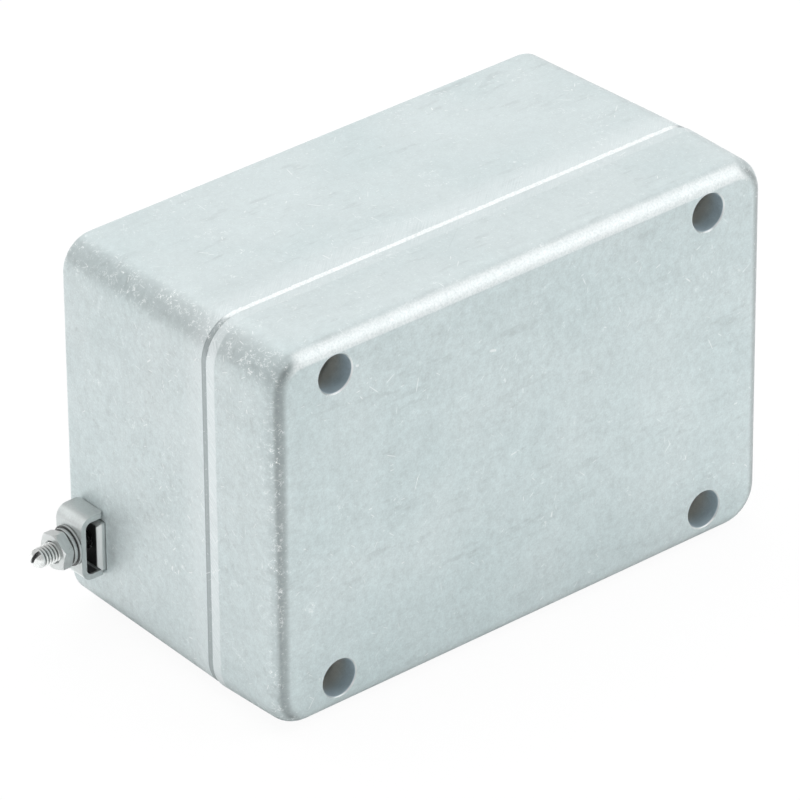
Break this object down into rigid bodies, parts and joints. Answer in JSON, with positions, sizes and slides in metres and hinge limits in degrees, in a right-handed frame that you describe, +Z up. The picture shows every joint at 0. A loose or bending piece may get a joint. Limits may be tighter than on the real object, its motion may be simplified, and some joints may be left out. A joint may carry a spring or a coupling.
{
  "type": "explosion-proof enclosure",
  "caption": "Closed die-cast aluminium box in two halves: a deep base and a lid with recessed captive screws, with an earth clamp on one end wall.",
  "frame": {"origin": "middle of the flat mounting face on the back of the base", "axes": "+X along the box's length, away from the earth clamp; -Y out of the wall towards the lid; +Z up"},
  "size_m": [0.1342, 0.063, 0.0802],
  "materials": {
    "cast_aluminium": "raw die-cast, satin, with small casting marks",
    "gasket_rubber": "matt moulded rubber",
    "seal_fibre": "matt",
    "natural_nylon": "natural nylon, satin",
    "screw_steel": "turned stainless steel, slightly dull",
    "plated_steel": "nickel-plated steel, satin"
  },
  "bodies": {
    "base": {"base_housing": "cast_aluminium", "earth_stud": "plated_steel", "outer_clamp_plate": "plated_steel", "inner_lock_washer": "plated_steel", "inner_lock_nut": "plated_steel"},
    "lid": {"lid": "cast_aluminium", "lid_gasket": "gasket_rubber", "screw_retainer_1": "natural_nylon", "screw_retainer_2": "natural_nylon", "screw_retainer_3": "natural_nylon", "screw_retainer_4": "natural_nylon"},
    "screw_seal_1": {"screw_seal_1": "seal_fibre"},
    "lid_screw_1": {"lid_screw_1": "screw_steel"},
    "screw_seal_2": {"screw_seal_2": "seal_fibre"},
    "lid_screw_2": {"lid_screw_2": "screw_steel"},
    "screw_seal_3": {"screw_seal_3": "seal_fibre"},
    "lid_screw_3": {"lid_screw_3": "screw_steel"},
    "screw_seal_4": {"screw_seal_4": "seal_fibre"},
    "lid_screw_4": {"lid_screw_4": "screw_steel"},
    "outer_clamp": {"outer_clamp_bracket": "plated_steel", "outer_flat_washer": "plated_steel", "outer_spring_washer": "plated_steel"},
    "outer_nut": {"outer_nut": "plated_steel"},
    "inner_clamp": {"inner_flat_washer": "plated_steel", "inner_spring_washer": "plated_steel"},
    "inner_nut": {"inner_nut": "plated_steel"}
  },
  "joints": [
    {"name": "lid_lift", "type": "slide", "parent": "base", "child": "lid", "axis": [0, -1, 0], "range_m": [0, 0.08]},
    {"name": "lid_screw_1_travel", "type": "slide", "parent": "lid", "child": "screw_seal_1", "axis": [0, -1, 0], "range_m": [0, 0.0072]},
    {"name": "lid_screw_1_turn", "type": "hinge", "parent": "screw_seal_1", "child": "lid_screw_1", "pos_m": [-0.0455, -0.055, -0.0325], "axis": [0, -1, 0], "range_deg": [0, 3710]},
    {"name": "lid_screw_2_travel", "type": "slide", "parent": "lid", "child": "screw_seal_2", "axis": [0, -1, 0], "range_m": [0, 0.0072]},
    {"name": "lid_screw_2_turn", "type": "hinge", "parent": "screw_seal_2", "child": "lid_screw_2", "pos_m": [-0.0455, -0.055, 0.0325], "axis": [0, -1, 0], "range_deg": [0, 3710]},
    {"name": "lid_screw_3_travel", "type": "slide", "parent": "lid", "child": "screw_seal_3", "axis": [0, -1, 0], "range_m": [0, 0.0072]},
    {"name": "lid_screw_3_turn", "type": "hinge", "parent": "screw_seal_3", "child": "lid_screw_3", "pos_m": [0.0455, -0.055, -0.0325], "axis": [0, -1, 0], "range_deg": [0, 3710]},
    {"name": "lid_screw_4_travel", "type": "slide", "parent": "lid", "child": "screw_seal_4", "axis": [0, -1, 0], "range_m": [0, 0.0072]},
    {"name": "lid_screw_4_turn", "type": "hinge", "parent": "screw_seal_4", "child": "lid_screw_4", "pos_m": [0.0455, -0.055, 0.0325], "axis": [0, -1, 0], "range_deg": [0, 3710]},
    {"name": "outer_clamp_travel", "type": "slide", "parent": "base", "child": "outer_clamp", "axis": [-1, 0, 0], "range_m": [0, 0.0025]},
    {"name": "outer_nut_turn", "type": "hinge", "parent": "outer_clamp", "child": "outer_nut", "pos_m": [-0.05, -0.00745, -0.02155], "axis": [-1, 0, 0], "range_deg": [0, 1290]},
    {"name": "inner_clamp_travel", "type": "slide", "parent": "base", "child": "inner_clamp", "axis": [1, 0, 0], "range_m": [0, 0.0025]},
    {"name": "inner_nut_turn", "type": "hinge", "parent": "inner_clamp", "child": "inner_nut", "pos_m": [-0.05, -0.00745, -0.02155], "axis": [1, 0, 0], "range_deg": [0, 1290]}
  ],
  "couplings": [
    {"joint": "lid_screw_1_turn", "follows": "lid_screw_1_travel", "rad_per_m": 8976},
    {"joint": "lid_screw_2_turn", "follows": "lid_screw_2_travel", "rad_per_m": 8976},
    {"joint": "lid_screw_3_turn", "follows": "lid_screw_3_travel", "rad_per_m": 8976},
    {"joint": "lid_screw_4_turn", "follows": "lid_screw_4_travel", "rad_per_m": 8976},
    {"joint": "outer_nut_turn", "follows": "outer_clamp_travel", "rad_per_m": 8976},
    {"joint": "inner_nut_turn", "follows": "inner_clamp_travel", "rad_per_m": 8976}
  ]
}
